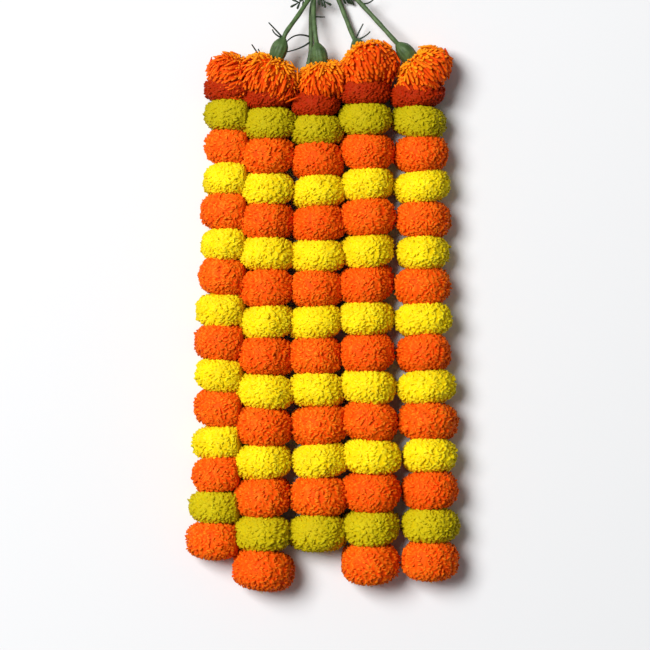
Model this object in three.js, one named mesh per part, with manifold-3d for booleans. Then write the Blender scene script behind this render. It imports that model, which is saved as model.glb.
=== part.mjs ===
// A marigold garland: five strings of orange and yellow marigolds, each under a stemmed orange
// marigold, with the five stems bound together above. It lies on a flat surface.
//
// Frame: millimetres, +Z up from the surface, +Y towards the stems, +X to the right when seen from
// above with the stems at the top. The origin is on the surface, under the middle of the garland.
//
// Two neighbouring flowers of a string are one piece, a yellow one with the orange one that is
// pressed against its lower side. Flowers are plain rounded solids, flat where they lie on the
// surface and where they press on the next string, and each is pierced by its string's thread.

import * as THREE from 'three';
import { mergeVertices } from 'three/addons/utils/BufferGeometryUtils.js';
import Module from 'manifold-3d';

const wasm = await Module();
wasm.setup();

// ---------------------------------------------------------------- driving dimensions

const clearance = 0.4; // between pieces that touch
const sliver = 0.01; // edges of a cut piece that are shorter than this close up
const headroom = 90; // over the surface, more than any piece needs

const flowerRadius = 28.5; // of a strung flower half way down its string
const radiusSpread = 0.04; // strung flowers are this share smaller at the top and larger at the bottom
const restHeight = 0.93; // height of a thread above the surface, as a share of its flower's radius
const yellowShare = 0.47; // of the length of a yellow and orange pair
const squareness = 2.5; // 2 is an ellipse; more is a squarer flower
const rings = [-0.88, -0.4, 0.4, 0.88]; // heights of a flower's rings, as shares of half its depth
const flowerSides = 10;
const waistShare = 0.66; // radius where two flowers of a pair meet, as a share of the flower's
const firstDepth = 27; // depth of the first orange flower of each string

const threadRadius = 0.8;
const knotRadius = 2.6;

// Each string: where its first and its last yellow flower are, how far above even steps its middle
// flowers sit, how far its flowers slip to the side of the thread and back, and whether an orange
// flower follows the last yellow one.
const yellowCount = 7;
const strings = [
  { first: [-109, -19.5], last: [-125, -470], lift: 1.5, slip: 1.5, endsOrange: true },
  { first: [-66, -29], last: [-73, -500], lift: 7, slip: -1.2, endsOrange: true },
  { first: [-11, -37], last: [-9, -499.5], lift: 11, slip: 2.4, endsOrange: false },
  { first: [45, -24], last: [51, -493.5], lift: 6, slip: 2.2, endsOrange: true },
  { first: [107, -27], last: [119, -491], lift: 4.5, slip: 1.5, endsOrange: true },
];

// Each top flower: its middle, the way its face looks, its radius, half its depth, and how far
// its cup sits inside it.
const topFlowers = [
  { at: [-107, 24, 26.5], face: [-0.8, -0.46, 0.35], radius: 26.5, half: 21, sunk: 3 },
  { at: [-65, 25.5, 36], face: [-0.36, -0.92, -0.12], radius: 32, half: 22, sunk: 1 },
  { at: [-3, 21.5, 28.5], face: [0.18, -0.97, -0.1], radius: 29, half: 20, sunk: 3 },
  { at: [48, 37, 31], face: [0.38, -0.8, 0.46], radius: 30, half: 22, sunk: 8 },
  { at: [111, 31, 29.5], face: [0.68, -0.72, -0.12], radius: 30, half: 21, sunk: 3 },
];

// Outline of a top flower from its cup to its face: radius and height, as shares of its own.
const topProfile = [
  [0, -1],
  [0.5, -0.94],
  [0.88, -0.5],
  [1, 0.05],
  [0.9, 0.55],
  [0.55, 0.9],
  [0, 1],
];

// Green cup behind each top flower: distance along it from its neck, and radius there.
const cupProfile = [
  [0, 2.9],
  [3, 5.4],
  [8, 8.4],
  [14, 9.5],
  [21, 8.9],
  [25, 7.4],
];
const cupLength = 25;

const stemRadius = 2.8;
const bindingMiddle = [-2, 164]; // x and y of the middle of the binding
const bindingLength = 15;
const bundleRadius = 6.1; // from the middle of the bundle to the middle of each stem
const bindingInner = bundleRadius + stemRadius + clearance;
const bindingOuter = bindingInner + 2;
const stemTail = 20; // length of the stems past the binding
const gather = 9; // length over which the stems turn into the bundle, before the binding
const slotAngles = [234, 90, 162, 306, 18]; // degrees round the bundle, for each stem
const bows = [0, 2, -4, 0, 1]; // how far the middle of each stem bows to the right

// The first flower's stem passes under its neighbours on its way up.
const hiddenRoute = [
  [-66, 33, 7],
  [-45, 24, 4.2],
  [-27, 27, 5],
  [-18.5, 50, 8],
  [-16.5, 105, 11],
];

// Leaf stalks left on the stems: which stem, how far along it, and the way from there to the
// stalk's middle and to its tip.
const stalks = [
  { stem: 0, along: 0, middle: [-6, 9, 6], tip: [-12.5, 18.5, 10] },
  { stem: 0, along: 0.01, middle: [-3, 8, 6], tip: [-6, 15, 9] },
  { stem: 0, along: 0.44, middle: [-8, -9, 8], tip: [-27, -14, 17] },
  { stem: 0, along: 0.455, middle: [-17, 7, 9], tip: [-28, -7, 20] },
  { stem: 1, along: 0, middle: [-8, 9, 2], tip: [-17, 18, 4] },
  { stem: 1, along: 0, middle: [-11, 4, 3], tip: [-12.5, 10, 5] },
  { stem: 2, along: 0.25, middle: [5, -1.5, 1], tip: [13, -1, -1] },
  { stem: 3, along: 0, middle: [4, 9, 2], tip: [9.5, 19, 3] },
  { stem: 3, along: 0, middle: [12, 3, 2], tip: [17.5, 10, 3] },
  { stem: 4, along: 0.4, middle: [9, -3, 0], tip: [17, 6, -1] },
];
const stalkRadius = 1;

// ---------------------------------------------------------------- materials

const finishes = {
  yellow: new THREE.MeshStandardMaterial({ color: 0xf0d80c, roughness: 0.8, metalness: 0 }),
  orange: new THREE.MeshStandardMaterial({ color: 0xee540f, roughness: 0.8, metalness: 0 }),
  topOrange: new THREE.MeshStandardMaterial({ color: 0xf0661a, roughness: 0.7, metalness: 0 }),
  green: new THREE.MeshStandardMaterial({ color: 0x55733f, roughness: 0.6, metalness: 0 }),
  thread: new THREE.MeshStandardMaterial({ color: 0xe6dcc2, roughness: 0.9, metalness: 0 }),
  twine: new THREE.MeshStandardMaterial({ color: 0x3f5a2c, roughness: 0.9, metalness: 0 }),
};

// ---------------------------------------------------------------- solids

const vector = (p) => new THREE.Vector3(...p);
const degrees = Math.PI / 180;

// A three.js geometry as a manifold solid.
function solid(geometry) {
  const bare = geometry.clone();
  bare.deleteAttribute('normal');
  bare.deleteAttribute('uv');
  const merged = mergeVertices(bare, 1e-3);
  const mesh = new wasm.Mesh({
    numProp: 3,
    vertProperties: merged.attributes.position.array,
    triVerts: new Uint32Array(merged.index.array),
  });
  return new wasm.Manifold(mesh);
}

// The largest single body of a solid, as a named mesh without the slivers that cuts leave.
function piece(name, made, material) {
  const [body] = made.decompose().sort((a, b) => b.volume() - a.volume());
  const { numProp, numVert, vertProperties, triVerts } = body.asOriginal().simplify(sliver).getMesh();
  const positions = new Float32Array(numVert * 3);
  for (let i = 0; i < numVert; i++) {
    positions.set(vertProperties.subarray(i * numProp, i * numProp + 3), i * 3);
  }
  const geometry = new THREE.BufferGeometry();
  geometry.setAttribute('position', new THREE.BufferAttribute(positions, 3));
  geometry.setIndex(new THREE.BufferAttribute(triVerts, 1));
  geometry.computeVertexNormals();
  const mesh = new THREE.Mesh(geometry, material);
  mesh.name = name;
  return mesh;
}

// A closed tube of a regular section along a curve.
function tube(curve, radius, sides, steps) {
  const section = new THREE.Shape();
  for (let i = 0; i < sides; i++) {
    const angle = (2 * Math.PI * i) / sides;
    section[i ? 'lineTo' : 'moveTo'](radius * Math.cos(angle), radius * Math.sin(angle));
  }
  const options = { extrudePath: curve, steps, bevelEnabled: false };
  return solid(new THREE.ExtrudeGeometry(section, options));
}

// A solid turned about +Y from a profile of [radius, height] that runs upwards.
function turned(profile, segments) {
  const points = profile.map(([r, y]) => new THREE.Vector2(r, y));
  return solid(new THREE.LatheGeometry(points, segments));
}

// The solid turned so that its +Y looks along a direction, with its origin moved to a point.
function aimed(made, direction, at) {
  const turn = new THREE.Quaternion().setFromUnitVectors(
    new THREE.Vector3(0, 1, 0), vector(direction).normalize());
  const matrix = new THREE.Matrix4().compose(vector(at), turn, new THREE.Vector3(1, 1, 1));
  return made.transform(matrix.elements);
}

// Radius of a flower, as a share of its widest, at a height given as a share of half its depth.
const superellipse = (share) => Math.max(0, 1 - Math.abs(share) ** squareness) ** (1 / squareness);
const roundness = (share) => superellipse(share) / superellipse(rings[2]);

// ---------------------------------------------------------------- where things are

const mix = (a, b, t) => a + (b - a) * t;

// Height on a string, by steps from one yellow flower to the next: 0 at the first and 6 at the last.
function heightAt(s, step) {
  const share = step / (yellowCount - 1);
  return mix(s.first[1], s.last[1], share) + s.lift * 4 * share * (1 - share);
}

// How far down its string a height is: 0 at the first yellow flower and 1 at the last.
const downShare = (s, y) => (s.first[1] - y) / (s.first[1] - s.last[1]);

const radiusAt = (s, y) => flowerRadius * (1 + radiusSpread * (2 * downShare(s, y) - 1));

// The straight line of a string's thread, and the middle of a flower that has slipped aside on it.
const lineAt = (s, y) => mix(s.first[0], s.last[0], downShare(s, y));
const straightAt = (s, y) => new THREE.Vector3(lineAt(s, y), y, restHeight * radiusAt(s, y));
function middleAt(s, y) {
  const aside = s.slip * Math.sin(3 * Math.PI * downShare(s, y));
  return straightAt(s, y).add(new THREE.Vector3(aside, 0, 0));
}

// ---------------------------------------------------------------- strings

// The space over the surface that a string's flowers keep to, up to half way to its neighbours.
function lane(index) {
  const [top, bottom, margin] = [80, -620, 60]; // past the string's ends and its open side
  const side = (a, b, y, step) => {
    if (!b) return lineAt(a, y) + step * margin;
    return (lineAt(a, y) + lineAt(b, y)) / 2 - (step * clearance) / 2;
  };
  const s = strings[index];
  const outline = new THREE.Shape([
    new THREE.Vector2(side(s, strings[index - 1], top, -1), top),
    new THREE.Vector2(side(s, strings[index - 1], bottom, -1), bottom),
    new THREE.Vector2(side(s, strings[index + 1], bottom, 1), bottom),
    new THREE.Vector2(side(s, strings[index + 1], top, 1), top),
  ]);
  return solid(new THREE.ExtrudeGeometry(outline, { depth: headroom, bevelEnabled: false }));
}

// A run of flowers on one thread, each [middle y, depth], from the lowest up.
function flowersOnThread(s, run) {
  const profile = [];
  run.forEach(([middle, depth], i) => {
    const half = depth / 2;
    const radius = radiusAt(s, middle);
    if (i === 0) profile.push([0, middle - half]);
    if (i > 0) profile.push([waistShare * radius, middle - half]);
    const from = i > 0 ? 1 : 0;
    const to = i < run.length - 1 ? rings.length - 1 : rings.length;
    rings.slice(from, to).forEach((share) =>
      profile.push([radius * roundness(share), middle + share * half]));
    if (i === run.length - 1) profile.push([0, middle + half]);
  });
  const points = profile.map((p) => new THREE.Vector2(...p));
  const geometry = new THREE.LatheGeometry(points, flowerSides, Math.PI / flowerSides);
  const position = geometry.attributes.position;
  for (let i = 0; i < position.count; i++) {
    const middle = middleAt(s, position.getY(i));
    position.setX(i, position.getX(i) + middle.x);
    position.setZ(i, position.getZ(i) + middle.z);
  }
  return solid(geometry);
}

// Where a top flower's cup begins inside it, and the cup's neck outside it.
function cupEnds({ at, face, half, sunk }) {
  const look = vector(face).normalize();
  const back = vector(at).addScaledVector(look, sunk - half);
  return { look, back, neck: back.clone().addScaledVector(look, -cupLength) };
}

// A string's thread, or with grow the room that it takes: straight from a knot below the last flower
// up to the first one, then bent into the top flower, where it ends in a knot before the cup.
function thread(s, top, grow) {
  const { look, back } = cupEnds(top);
  const lowest = lowestEdge(s) - clearance - knotRadius;
  const [start, bend, way] = [lowest, s.first[1] + 20, s.first[1] + 34].map((y) => straightAt(s, y));
  const end = back.clone().addScaledVector(look, knotRadius + 2 * clearance);
  const turn = new THREE.QuadraticBezierCurve3(bend, way, end).getPoints(4);
  const route = new THREE.CatmullRomCurve3([start, ...turn], false, 'centripetal');
  route.getUtoTmapping = (share) => share; // sections at the points only
  const knot = (at) => solid(new THREE.SphereGeometry(knotRadius + grow, 6, 5)).translate(at.toArray());
  return tube(route, threadRadius + grow, 6, turn.length).add(knot(start)).add(knot(end));
}

// The lower edge of a string's last flower.
function lowestEdge(s) {
  return heightAt(s, yellowCount - 1 + (s.endsOrange ? 1 - yellowShare / 2 : yellowShare / 2));
}

// ---------------------------------------------------------------- stems

// The middle of a stem's slot in the binding, at one end (-1) or the other (1).
function slot(index, end) {
  const angle = slotAngles[index] * degrees;
  return new THREE.Vector3(
    bindingMiddle[0] + bundleRadius * Math.cos(angle),
    bindingMiddle[1] + (end * bindingLength) / 2,
    bindingOuter + bundleRadius * Math.sin(angle));
}

// A stem's route: out of its cup's neck, straight but for its bow, and through the binding.
function stemCurve(index) {
  const { neck, look } = cupEnds(topFlowers[index]);
  const [entry, exit] = [slot(index, -1), slot(index, 1)];
  const knee = neck.clone().addScaledVector(look, -5);
  const turn = entry.clone().add(new THREE.Vector3(0, -gather, 0));
  const between = (share) => knee.clone().lerp(turn, share).add(new THREE.Vector3(bows[index], 0, 0));
  const way = index === 0 ? hiddenRoute.map(vector) : [knee, between(0.35), between(0.7)];
  const spread = exit.clone().sub(slot(2, 1)).multiplyScalar(0.25).setZ(0);
  const end = exit.clone().add(new THREE.Vector3(0, stemTail, 0)).add(spread);
  const start = neck.clone().addScaledVector(look, 1);
  return new THREE.CatmullRomCurve3([start, ...way, turn, entry, exit, end], false, 'centripetal');
}

function cup(top, grow) {
  const outline = cupProfile.map(([y, r]) => [r + grow, y]);
  const { look, neck } = cupEnds(top);
  return aimed(turned([[0, -grow], ...outline, [0, cupLength + grow]], 10), look, neck);
}

// A whole stem, or with grow the room that it takes with that much clearance round it.
function stem(index, grow) {
  const steps = index === 0 ? 24 : 14;
  let made = tube(stemCurve(index), stemRadius + grow, 8, steps).add(cup(topFlowers[index], grow));
  stalks.filter((each) => each.stem === index).forEach(({ along, middle, tip }) => {
    const root = stemCurve(index).getPointAt(along);
    const ways = [middle, tip].map((way) => vector(way).add(root));
    const curve = new THREE.QuadraticBezierCurve3(root, ...ways);
    made = made.add(tube(curve, stalkRadius + grow, 4, 4));
  });
  return made;
}

// ---------------------------------------------------------------- the garland

const garland = new THREE.Group();

// Stems first, because the flowers that press on them yield to them.
const stems = topFlowers.map((_, index) => stem(index, 0));
const stemRooms = topFlowers.map((_, index) => stem(index, clearance));
const yieldToStems = (made) => stemRooms.reduce((left, room) => left.subtract(room), made);

// Top flowers: the higher ones keep their shape, and press into the lower ones.
function topFlower({ half, radius, face, at }, grow) {
  const profile = topProfile.map(([r, y]) => [r && r * radius + grow, y * (half + grow)]);
  return aimed(turned(profile, 12), face, at);
}
const channels = strings.map((s, index) => thread(s, topFlowers[index], 2 * clearance));
const pressedBy = [[1], [], [1, 3], [], []];
const air = solid(new THREE.BoxGeometry(600, 600, headroom)).translate([0, 0, headroom / 2]);
const heads = topFlowers.map((top, index) => {
  let made = yieldToStems(topFlower(top, 0).intersect(air)).subtract(channels[index]);
  pressedBy[index].forEach((other) => {
    made = made.subtract(topFlower(topFlowers[other], clearance));
  });
  return made;
});
heads.forEach((head, index) => garland.add(piece(`top_flower_${index + 1}`, head, finishes.topOrange)));
stems.forEach((made, index) => garland.add(piece(`stem_${index + 1}`, made, finishes.green)));

// Strings.
strings.forEach((s, index) => {
  const name = `string_${index + 1}`;
  const strip = lane(index);
  const gap = clearance;
  const keep = (run) => flowersOnThread(s, run).intersect(strip).subtract(channels[index]);

  const firstEdge = heightAt(s, -yellowShare / 2);
  let opening = yieldToStems(keep([[firstEdge + firstDepth / 2, firstDepth - gap]]));
  topFlowers.forEach((top) => {
    opening = opening.subtract(topFlower(top, clearance));
  });
  garland.add(piece(`${name}_first_orange`, opening, finishes.orange));

  for (let k = 0; k < yellowCount; k++) {
    const top = heightAt(s, k - yellowShare / 2) - gap / 2;
    const waist = heightAt(s, k + yellowShare / 2);
    const bottom = heightAt(s, k + 1 - yellowShare / 2) + gap / 2;
    const between = (low, high) => [(low + high) / 2, high - low];
    if (s.endsOrange || k < yellowCount - 1) {
      const run = [between(bottom, waist), between(waist, top)];
      garland.add(piece(`${name}_pair_${k + 1}`, keep(run), finishes.yellow));
    } else {
      garland.add(piece(`${name}_last_yellow`, keep([between(waist + gap / 2, top)]), finishes.yellow));
    }
  }

  garland.add(piece(`thread_${index + 1}`, thread(s, topFlowers[index], 0), finishes.thread));
});

// The binding: a wound band round the five stems.
const bandProfile = [
  [bindingInner, -bindingLength / 2],
  [bindingOuter - 0.6, -bindingLength / 2],
  [bindingOuter, -bindingLength / 2 + 1],
  [bindingOuter, bindingLength / 2 - 1],
  [bindingOuter - 0.6, bindingLength / 2],
  [bindingInner, bindingLength / 2],
  [bindingInner, -bindingLength / 2],
];
const band = turned(bandProfile, 16).translate([bindingMiddle[0], bindingMiddle[1], bindingOuter]);
garland.add(piece('stem_binding', band, finishes.twine));

// The origin goes under the middle of the garland, on the surface.
const box = new THREE.Box3().setFromObject(garland);
const middle = box.getCenter(new THREE.Vector3());
garland.position.set(-middle.x, -middle.y, -box.min.z);

export default garland;
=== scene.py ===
# %% [markdown]
# # A marigold garland
# Five strings of yellow and orange marigolds lie side by side on a pale surface. A larger orange
# marigold with its green stem tops each string, and twine binds the five stems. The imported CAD
# model holds every piece's size and place. This script grows the real surfaces round it, petals,
# stems and twine, and each surface is a formula worked out with numpy for all its points at once.

# %% Load the frame
import math

import bpy
import numpy as np
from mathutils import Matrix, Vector


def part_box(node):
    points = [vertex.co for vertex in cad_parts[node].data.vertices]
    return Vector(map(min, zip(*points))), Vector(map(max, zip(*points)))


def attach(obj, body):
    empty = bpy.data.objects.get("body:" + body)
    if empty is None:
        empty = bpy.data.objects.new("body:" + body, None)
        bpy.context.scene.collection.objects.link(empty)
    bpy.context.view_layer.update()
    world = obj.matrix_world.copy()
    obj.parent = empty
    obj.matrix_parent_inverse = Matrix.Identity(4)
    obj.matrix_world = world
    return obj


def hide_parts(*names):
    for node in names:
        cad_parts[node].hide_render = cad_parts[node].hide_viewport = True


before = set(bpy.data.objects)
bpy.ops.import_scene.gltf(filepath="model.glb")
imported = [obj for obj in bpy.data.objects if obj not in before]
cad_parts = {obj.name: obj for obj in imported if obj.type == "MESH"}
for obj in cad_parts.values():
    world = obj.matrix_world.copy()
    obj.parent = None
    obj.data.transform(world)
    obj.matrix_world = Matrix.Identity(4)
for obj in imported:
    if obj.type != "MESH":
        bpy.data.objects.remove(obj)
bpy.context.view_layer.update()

# %% [markdown]
# ## The camera
# A garland that lies flat is looked at from straight above, as if it hung on a wall in front of
# you. A long lens, far away, keeps the flowers at the edge from leaning outwards. Blender's
# camera already looks down its own -Z with +Y up, so it needs no turn at all.

# %% Look straight down
VIEW_CENTRE = (0.0033, -0.0721, 0.026)
VIEW_WIDTH = 0.7475
LENS_MM = 180

lens = bpy.data.cameras.new("garland_camera")
lens.lens = LENS_MM
distance = VIEW_WIDTH * LENS_MM / lens.sensor_width
lens.clip_end = 2 * distance
camera = bpy.data.objects.new("garland_camera", lens)
camera.location = (VIEW_CENTRE[0], VIEW_CENTRE[1], VIEW_CENTRE[2] + distance)
bpy.context.scene.collection.objects.link(camera)
bpy.context.scene.camera = camera
print("camera height in metres:", round(distance, 3))

# %% [markdown]
# ## The garland's own coordinates
# The shapes are worked out in millimetres, in the coordinates in which the garland was laid out:
# y runs up the strings and z away from the surface. The binding's CAD box tells where that
# layout sits in the frame, so one shift brings every point to its place.

# %% From the layout to the frame
MM = 0.001
BINDING_MIDDLE = (-2, 164)

low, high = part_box("stem_binding")
shift = np.array([
    (low.x + high.x) / 2 / MM - BINDING_MIDDLE[0],
    (low.y + high.y) / 2 / MM - BINDING_MIDDLE[1],
    0,
])
print("layout to frame, mm:", shift.round(2))

# %% [markdown]
# ## Turning arrays into pieces
# A shape here is a dict of arrays: its points in millimetres, its four-sided and three-sided faces,
# and four measures for each point that the materials read. `across` and `along` say where on
# a petal or a stem the point is, `tone` is the petal's own random number, and `tint`
# leans a part of the piece to its material's third colour: a painted shade on the first two
# flowers of each string, and elsewhere only a shift of colour. foreach_set copies a whole array in
# one call, which a loop over vertices can't do for half a million points in any sensible time.

# %% Make a piece
MEASURES = ("across", "along", "tone", "tint")
SOFTNESS = 1.0
UPWARDS = np.array([0.0, 0.0, 1.0])


def soften(mesh, corners, outward):
    """Give each face corner the direction: its point's smooth normal + SOFTNESS x outward."""
    own = np.zeros(len(mesh.vertices) * 3)
    mesh.vertex_normals.foreach_get("vector", own)
    leaned = own.reshape(-1, 3) + SOFTNESS * outward
    mesh.normals_split_custom_set((leaned / np.linalg.norm(leaned, axis=1, keepdims=True))[corners])


def piece(name, shape, material, nodes):
    """A mesh object at the origin that looks like shape and stands for CAD nodes."""
    mesh = bpy.data.meshes.new(name)
    placed = (shape["points"] + shift) * MM
    mesh.from_pydata(placed, [], shape["quads"].tolist() + shape["triangles"].tolist())
    for key in MEASURES[1:]:
        values = mesh.attributes.new(key, "FLOAT", "POINT")
        values.data.foreach_set("value", shape[key].astype(np.float32))
    corners = np.zeros(len(mesh.loops), int)
    mesh.loops.foreach_get("vertex_index", corners)
    flat = np.stack([shape["across"], shape["along"]], axis=1)[corners]
    mesh.uv_layers.new(name="own_map").data.foreach_set("uv", flat.astype(np.float32).ravel())
    mesh.polygons.foreach_set("use_smooth", np.ones(len(mesh.polygons), bool))
    if shape["outward"].any():
        soften(mesh, corners, shape["outward"])
    mesh.materials.append(material)
    made = bpy.data.objects.new(name, mesh)
    bpy.context.scene.collection.objects.link(made)
    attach(made, "root")
    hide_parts(*nodes)
    return made


def shape_of(points, quads=(), triangles=(), outward=(0, 0, 0), **measures):
    """A shape from its arrays. A measure that isn't given is zero at every point."""
    made = {"points": np.asarray(points, float)}
    made["outward"] = np.broadcast_to(outward, made["points"].shape).astype(float)
    made["quads"] = np.asarray(quads, int).reshape(-1, 4)
    made["triangles"] = np.asarray(triangles, int).reshape(-1, 3)
    for key in MEASURES:
        made[key] = np.broadcast_to(measures.get(key, 0.0), len(made["points"])).astype(float)
    return made


def joined(*shapes):
    """Several shapes as one: their arrays end to end, with the later faces counted on."""
    starts = np.cumsum([0] + [len(each["points"]) for each in shapes[:-1]])
    keys = ("points", "outward", *MEASURES)
    whole = {key: np.concatenate([each[key] for each in shapes]) for key in keys}
    for key in ("quads", "triangles"):
        whole[key] = np.concatenate([each[key] + start for each, start in zip(shapes, starts)])
    return whole


def unit(vectors):
    """Each vector over its length."""
    return vectors / np.linalg.norm(vectors, axis=-1, keepdims=True)


def squared(wide, way):
    """The part of each wide that is square to its way, at length 1."""
    return unit(wide - way * np.sum(wide * way, axis=-1, keepdims=True))


def triangles_in(made):
    """How many triangles a piece has: a face has two fewer than it has corners."""
    return len(made.data.loops) - 2 * len(made.data.polygons)


def wall_faces(rings, sides):
    """Faces of rings of points one after the other, closed at both ends by a point each: the
    four-sided faces between the rings, and the three-sided ones to the two last points."""
    i = np.arange(rings * sides).reshape(rings, sides)
    after = np.roll(i, -1, axis=1)
    quads = np.stack([i[:-1], after[:-1], after[1:], i[1:]], axis=-1).reshape(-1, 4)
    start = np.stack([after[0], i[0], np.full(sides, rings * sides)], axis=1)
    end = np.stack([i[-1], after[-1], np.full(sides, rings * sides + 1)], axis=1)
    return quads, np.concatenate([start, end])


# %% [markdown]
# ## One petal
# A marigold's petal is a soft strap that widens and rolls a little towards its round end. A
# sculpted petal would be lovely, but a garland has thirty thousand of them, so each may have only
# a few dozen faces. A flattened tube does it: some rings of points, and a pole at the root and at
# the tip that close it. Short petals are enough where only the tips show between their
# neighbours, and long ones are for the open flowers.

# %% The rings of a petal
SHORT_PETAL = {"sides": 6, "along": [0.4, 0.86], "girth": [0.7, 1.0]}
LONG_PETAL = {"sides": 5, "along": [0.0, 0.42, 0.78, 0.95], "girth": [0.6, 0.85, 1.0, 0.68]}


def petal_rings(kind):
    """across and through (-1 to 1) and along (0 to 1) of each point of a petal: a round of the
    ring's girth at each ring, and last the poles at 0 and 1."""
    rings, sides = len(kind["along"]), kind["sides"]
    angle = np.tile(np.arange(sides) * 2 * math.pi / sides, rings)
    girth = np.repeat(kind["girth"], sides)
    across = np.append(girth * np.cos(angle), [0, 0])
    through = np.append(girth * np.sin(angle), [0, 0])
    return across, through, np.append(np.repeat(kind["along"], sides), [0, 1])


for kind in (SHORT_PETAL, LONG_PETAL):
    print("points in a petal:", len(petal_rings(kind)[0]))

# %% [markdown]
# ## Many petals at once
# Every petal has a tip, a way it grows and a way it is wide. The third way, its face, is square
# to both. The formula below places all points of all petals in one go: numpy multiplies the
# petals' vectors with the rings' numbers.

# %% Petals from their tips and ways
def petals(kind, tip, way, wide, length, girth, flatness, curl=0.0, ruffle=0.0, phase=0.0, **measures):
    """A point is tip - way x length x (1 - along) + wide x girth x across
    + face x (girth x flatness x through + length x curl x (along squared - 1) + wave).
    wave is ruffle x along squared x sin(2.2 across + phase), and the end of the petal is ruffled
    forwards and back by half as much. The measures are one value for each petal."""
    across, through, along = petal_rings(kind)
    count = len(tip)
    length, girth, curl, ruffle, phase = (
        np.broadcast_to(each, count)[:, None] for each in (length, girth, curl, ruffle, phase))
    reach = length * (along - 1) + ruffle / 2 * along * np.sin(3 * across + 2 * phase)
    wave = ruffle * along**2 * np.sin(2.2 * across + phase)
    lift = girth * flatness * through + length * curl * (along**2 - 1) + wave
    face = np.cross(way, wide)
    points = (
        tip[:, None] + way[:, None] * reach[..., None]
        + wide[:, None] * (girth * across)[..., None] + face[:, None] * lift[..., None])
    quads, triangles = wall_faces(len(kind["along"]), kind["sides"])
    starts = np.arange(count)[:, None, None] * len(along)
    values = {
        key: np.repeat(np.broadcast_to(value, count), len(along)) for key, value in measures.items()}
    return shape_of(
        points.reshape(-1, 3), quads + starts, (triangles + starts).reshape(-1, 3),
        along=np.tile(along, count), across=np.tile(0.5 + across / 2, count), **values)


# %% [markdown]
# ## A strung marigold
# Threaded through its middle and pressed between its neighbours, a marigold becomes a squat
# cushion: seen from the side its outline is a superellipse, rounder than a box and squarer than
# an oval. The petals' tips are spread evenly over that surface by the golden angle, as a real
# flower head packs them, and each petal grows along the surface's own outward direction. A
# closed core inside stops light from passing right through.

# %% Where the tips go
SQUARENESS = 2.6
GOLDEN_ANGLE = math.pi * (3 - math.sqrt(5))
SPARE_BELOW = 0.35
END_FACE = 0.5
OUTLINE_STEPS = 241


def cushion_tips(radius, half, count, open_ends):
    """Angle round the thread, height share (-1 to 1) and radius share of each tip: the outline
    |height|^p + |radius|^p = 1, walked so that every tip has the same area. The two end faces,
    hidden by the neighbours, get few tips unless they are open, and the underside gets fewer
    than the top."""
    turn = np.linspace(-math.pi / 2, math.pi / 2, OUTLINE_STEPS)
    height = np.sign(turn) * np.abs(np.sin(turn)) ** (2 / SQUARENESS)
    share = np.abs(np.cos(turn)) ** (2 / SQUARENESS)
    step = np.hypot(np.diff(height) * half, np.diff(share) * radius)
    at, ring = (height[1:] + height[:-1]) / 2, (share[1:] + share[:-1]) / 2
    covered = np.where(ring < END_FACE, np.where(at < 0, open_ends[0], open_ends[1]), 1.0)
    area = np.concatenate([[0], np.cumsum(step * ring * covered)])
    picked = np.interp((np.arange(count) + 0.5) / count * area[-1], area, turn)
    round_thread = (np.arange(count) * GOLDEN_ANGLE) % (2 * math.pi) - math.pi
    round_thread = round_thread - SPARE_BELOW * np.sin(round_thread)
    tip_height = np.sign(picked) * np.abs(np.sin(picked)) ** (2 / SQUARENESS)
    return round_thread, tip_height, np.abs(np.cos(picked)) ** (2 / SQUARENESS)


# %% [markdown]
# ## Pressing
# The flowers lie on the surface and squeeze each other at the sides. Cutting them would leave
# raw edges. Here every point that comes near a plane slows down towards it, as soft petals pile
# up, and never passes it. The plane between two strings may lean, so that one string lies over
# the other.

# %% Press the petals
SOFT = 2.0


def held_below(value, limit):
    """value where it is more than SOFT under the limit, and past that
    limit - SOFT x exp(-(value - limit + SOFT) / SOFT), which never reaches the limit."""
    past = value - (limit - SOFT)
    return np.where(past > 0, limit - SOFT * np.exp(-np.maximum(past, 0) / SOFT), value)


def pressed(points, left, right, lean_left, lean_right, rest):
    """Points between two planes at left and right that lean by so much per millimetre of height
    over rest, and above the surface at z = 0."""
    x, y, z = points.T
    x = held_below(x, right - lean_right * (z - rest))
    x = -held_below(-x, -(left - lean_left * (z - rest)))
    return np.stack([x, y, -held_below(-z, 0)], axis=1)


# %% [markdown]
# ## The heart of a flower
# Under the visible tips the petals are packed so tightly that no light gets between them. A closed
# core stands for that mass. It is folded all over, like the ruffles that it stands for, so that
# it never shows as a smooth ball between two petals.

# %% The folded core
CORE_SHARE = 0.915
CORE_SIDES = 60
CORE_RINGS = 16
CORE_FOLD = 1.5
CREST_SIZE = (5.0, 9.0)
CREST_WAVES = 8
CREST_WIDTH = 3
# How far down the ramp the folds go: partly the petals' own deeper base, partly a painted shade in the
# folds.
FOLD_SHADE = 0.35
FOOT = 3.6
TWO_LOBES = 0.04
THREE_LOBES = 0.035


def settled(angle):
    """How far out a flower reaches at an angle from straight up: 1 above, and below it the outline
    |x|^q + |z|^q = 1, since a soft flower that lies on a surface spreads into a square foot."""
    spread = (np.abs(np.sin(angle)) ** FOOT + np.abs(np.cos(angle)) ** FOOT) ** (-1 / FOOT)
    return np.where(np.cos(angle) < 0, spread, 1.0)


def lumps_at(angle, phases):
    """A flower isn't quite round: 1 + a wave with two lobes + one with three, each with its phase."""
    return 1 + TWO_LOBES * np.sin(2 * angle + phases[0]) + THREE_LOBES * np.sin(3 * angle + phases[1])


def crests(across, up, rng):
    """Relief from 0 to 1 that looks like the wavy edges of packed petals: a sum of sines in random
    directions, folded at zero, so that its zero lines become crests."""
    way = rng.uniform(0, math.pi, CREST_WAVES)
    phase = rng.uniform(0, 2 * math.pi, CREST_WAVES)
    rate = 2 * math.pi / rng.uniform(*CREST_SIZE, CREST_WAVES)
    wave = np.sin(rate * (across[..., None] * np.cos(way) + up[..., None] * np.sin(way)) + phase)
    return np.clip(1 - np.abs(wave.sum(axis=-1)) / CREST_WIDTH, 0, 1)


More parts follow.
